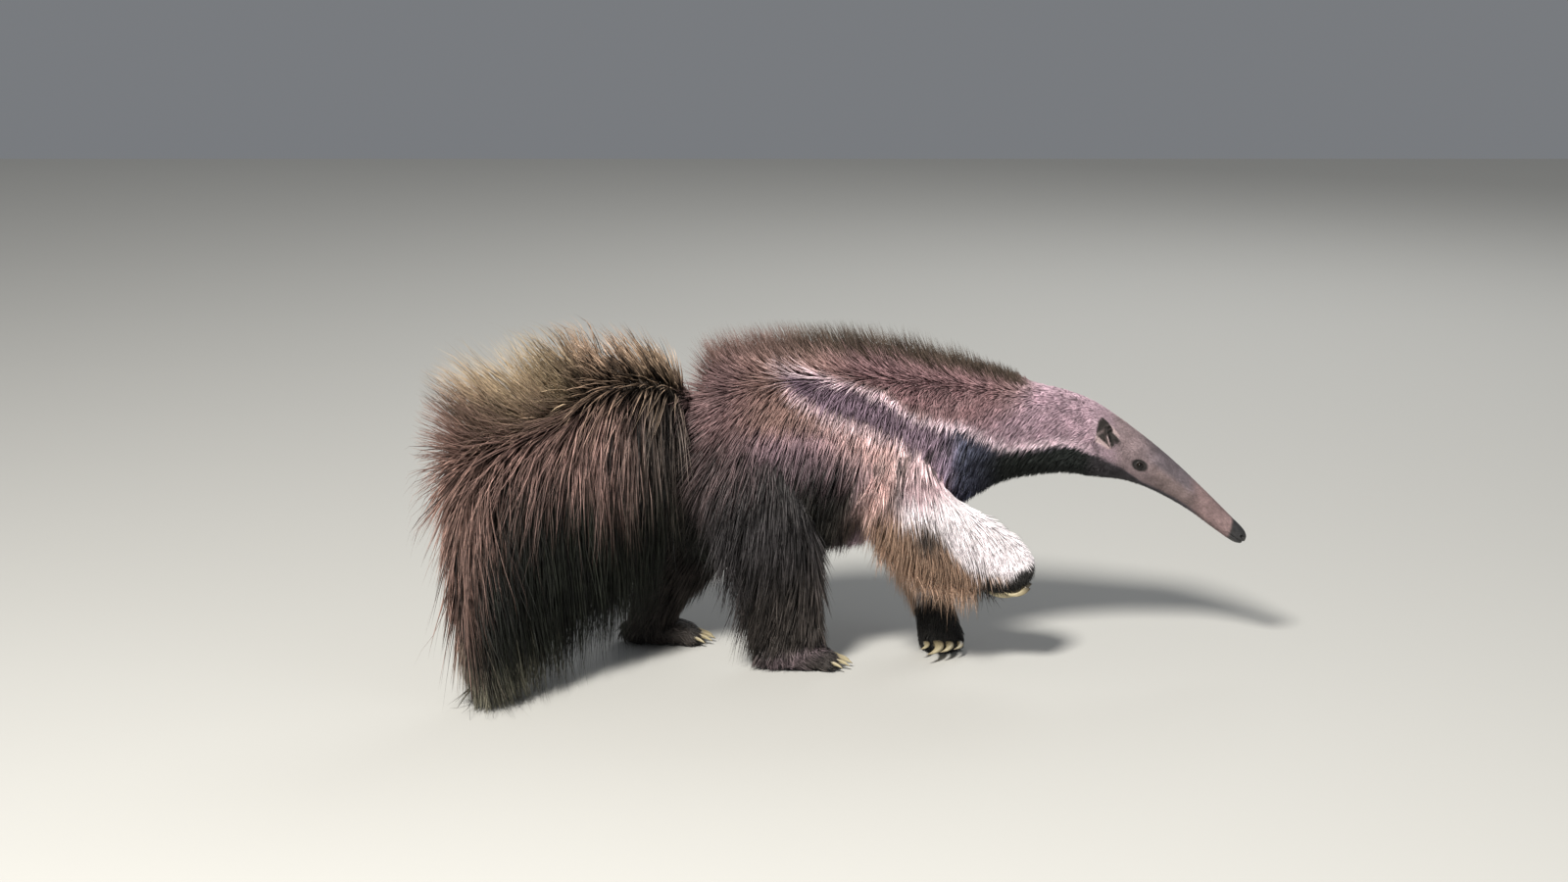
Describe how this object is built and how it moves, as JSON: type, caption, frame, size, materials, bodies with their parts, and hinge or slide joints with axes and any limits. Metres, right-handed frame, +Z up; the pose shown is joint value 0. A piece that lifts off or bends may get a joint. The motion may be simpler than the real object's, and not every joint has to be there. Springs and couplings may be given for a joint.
{
  "type": "giant anteater",
  "caption": "Giant anteater walking with a forefoot lifted: long tapering snout, diagonal dark shoulder stripe edged in white, crest along the back and a long-haired tail hanging to the floor.",
  "frame": {"origin": "on the floor under the middle of the bounding box", "axes": "+X towards the snout, +Y to the animal's left, +Z up"},
  "size_m": [1.5164, 0.5526, 0.637],
  "materials": {
    "body_coat": "long coarse hair, reddish grey-brown, with a dark band edged in white from chest to back",
    "head_coat": "short flat grey fur",
    "pale_coat": "white hair with a dark band over the wrist and a brown fringe",
    "dark_coat": "dark brown long hair",
    "crest_hair": "stiff olive-brown hair with pale tips",
    "tail_hair": "very long coarse dark brown hair",
    "nose_skin": "bare dark skin, slightly moist",
    "eye": "wet and dark",
    "claw": "smooth worn horn"
  },
  "bodies": {
    "root": {"trunk": "body_coat", "neck": "body_coat", "head": "head_coat", "nose": "nose_skin", "crest": "crest_hair", "tail_base": "tail_hair", "tail_middle": "tail_hair", "tail_end": "tail_hair", "ear_R": "head_coat", "ear_L": "head_coat", "eye_R": "eye", "eye_L": "eye", "upper_arm_R": "pale_coat", "forearm_R": "pale_coat", "fore_paw_R": "pale_coat", "upper_arm_L": "pale_coat", "forearm_L": "pale_coat", "fore_paw_L": "pale_coat", "thigh_R": "dark_coat", "shank_R": "dark_coat", "hind_paw_R": "dark_coat", "thigh_L": "dark_coat", "shank_L": "dark_coat", "hind_paw_L": "dark_coat", "fore_claw_R_1": "claw", "fore_claw_R_2": "claw", "fore_claw_R_3": "claw", "fore_claw_R_4": "claw", "fore_claw_L_1": "claw", "fore_claw_L_2": "claw", "fore_claw_L_3": "claw", "fore_claw_L_4": "claw", "hind_claw_R_1": "claw", "hind_claw_R_2": "claw", "hind_claw_R_3": "claw", "hind_claw_R_4": "claw", "hind_claw_R_5": "claw", "hind_claw_L_1": "claw", "hind_claw_L_2": "claw", "hind_claw_L_3": "claw", "hind_claw_L_4": "claw", "hind_claw_L_5": "claw"}
  },
  "joints": []
}
